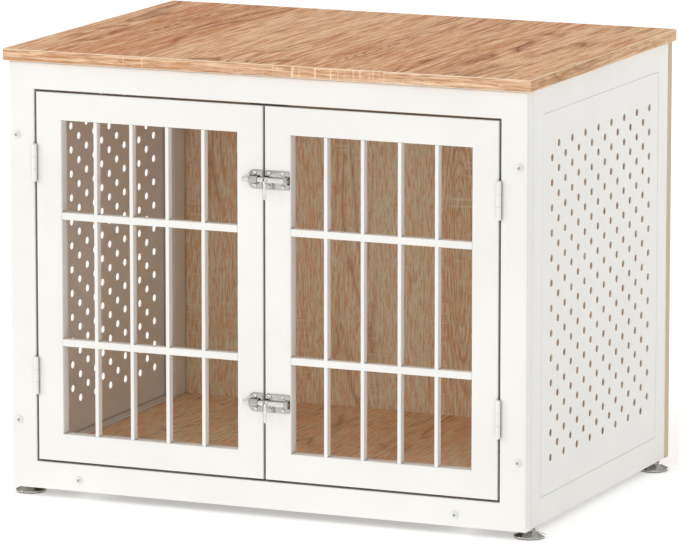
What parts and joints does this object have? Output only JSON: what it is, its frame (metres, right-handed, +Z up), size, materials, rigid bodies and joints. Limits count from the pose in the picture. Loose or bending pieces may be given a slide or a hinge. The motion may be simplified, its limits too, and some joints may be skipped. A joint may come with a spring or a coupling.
{
  "type": "dog crate",
  "caption": "Furniture-style dog crate: steel tube frame with barred double doors and slide bolts, perforated side sheets, wood-effect top, back and floor, on levelling feet.",
  "frame": {"origin": "bottom centre of the whole crate's box, on the floor between the feet", "axes": "+X to the right seen from the front, +Y from the doors to the back, +Z up"},
  "size_m": [0.833, 0.593, 0.6615],
  "materials": {
    "white_coat": "satin white powder coat",
    "oak_board": "warm oak-effect laminate, grain along the depth",
    "oak_back": "warm oak-effect laminate, grain upright",
    "chrome_plate": "bright chrome plate",
    "zinc_steel": "zinc-plated steel",
    "white_screw": "white coated screw head"
  },
  "bodies": {
    "crate": {"front_frame_stiles": "white_coat", "front_frame_rails": "white_coat", "front_frame_bolts": "white_screw", "side_post_inserts": "zinc_steel", "door_stops": "white_coat", "right_side_posts": "white_coat", "right_side_rails": "white_coat", "right_side_sheet": "white_coat", "left_side_posts": "white_coat", "left_side_rails": "white_coat", "left_side_sheet": "white_coat", "top_board": "oak_board", "top_board_screws": "zinc_steel", "back_board": "oak_back", "back_board_screws": "zinc_steel", "floor_board": "oak_board", "floor_board_screws": "zinc_steel", "floor_bearers": "white_coat", "floor_bearer_plugs": "zinc_steel", "foot_nuts": "zinc_steel", "left_hinge_frame_leaves": "white_coat", "left_hinge_pins": "white_coat", "right_hinge_frame_leaves": "white_coat", "right_hinge_pins": "white_coat"},
    "left_door": {"left_door_stiles": "white_coat", "left_door_rails": "white_coat", "left_door_grille": "white_coat", "left_hinge_door_leaves": "white_coat", "latch_keeper_screws": "chrome_plate", "lower_latch_keeper": "chrome_plate", "upper_latch_keeper": "chrome_plate"},
    "right_door": {"right_door_stiles": "white_coat", "right_door_rails": "white_coat", "right_door_grille": "white_coat", "right_hinge_door_leaves": "white_coat", "latch_body_screws": "chrome_plate", "lower_latch_body": "chrome_plate", "upper_latch_body": "chrome_plate"},
    "lower_bolt": {"lower_latch_rod": "chrome_plate"},
    "lower_handle": {"lower_latch_handle": "chrome_plate"},
    "upper_bolt": {"upper_latch_rod": "chrome_plate"},
    "upper_handle": {"upper_latch_handle": "chrome_plate"},
    "foot_front_left": {"foot_front_left": "chrome_plate"},
    "foot_rear_left": {"foot_rear_left": "chrome_plate"},
    "foot_front_right": {"foot_front_right": "chrome_plate"},
    "foot_rear_right": {"foot_rear_right": "chrome_plate"}
  },
  "joints": [
    {"name": "left_door_swing", "type": "hinge", "parent": "crate", "child": "left_door", "pos_m": [-0.3623, -0.2848, 0.3295], "axis": [0, 0, -1], "range_deg": [0, 170]},
    {"name": "right_door_swing", "type": "hinge", "parent": "crate", "child": "right_door", "pos_m": [0.3623, -0.2848, 0.3295], "axis": [0, 0, 1], "range_deg": [0, 170]},
    {"name": "lower_bolt_slide", "type": "slide", "parent": "right_door", "child": "lower_bolt", "axis": [1, 0, 0], "range_m": [0, 0.0247]},
    {"name": "lower_handle_turn", "type": "hinge", "parent": "lower_bolt", "child": "lower_handle", "pos_m": [0.007, -0.2877, 0.171], "axis": [-1, 0, 0], "range_deg": [0, 90]},
    {"name": "upper_bolt_slide", "type": "slide", "parent": "right_door", "child": "upper_bolt", "axis": [1, 0, 0], "range_m": [0, 0.0247]},
    {"name": "upper_handle_turn", "type": "hinge", "parent": "upper_bolt", "child": "upper_handle", "pos_m": [0.007, -0.2877, 0.495], "axis": [-1, 0, 0], "range_deg": [0, 90]},
    {"name": "foot_front_left_height", "type": "slide", "parent": "crate", "child": "foot_front_left", "axis": [0, 0, -1], "range_m": [0, 0.012]},
    {"name": "foot_rear_left_height", "type": "slide", "parent": "crate", "child": "foot_rear_left", "axis": [0, 0, -1], "range_m": [0, 0.012]},
    {"name": "foot_front_right_height", "type": "slide", "parent": "crate", "child": "foot_front_right", "axis": [0, 0, -1], "range_m": [0, 0.012]},
    {"name": "foot_rear_right_height", "type": "slide", "parent": "crate", "child": "foot_rear_right", "axis": [0, 0, -1], "range_m": [0, 0.012]}
  ]
}
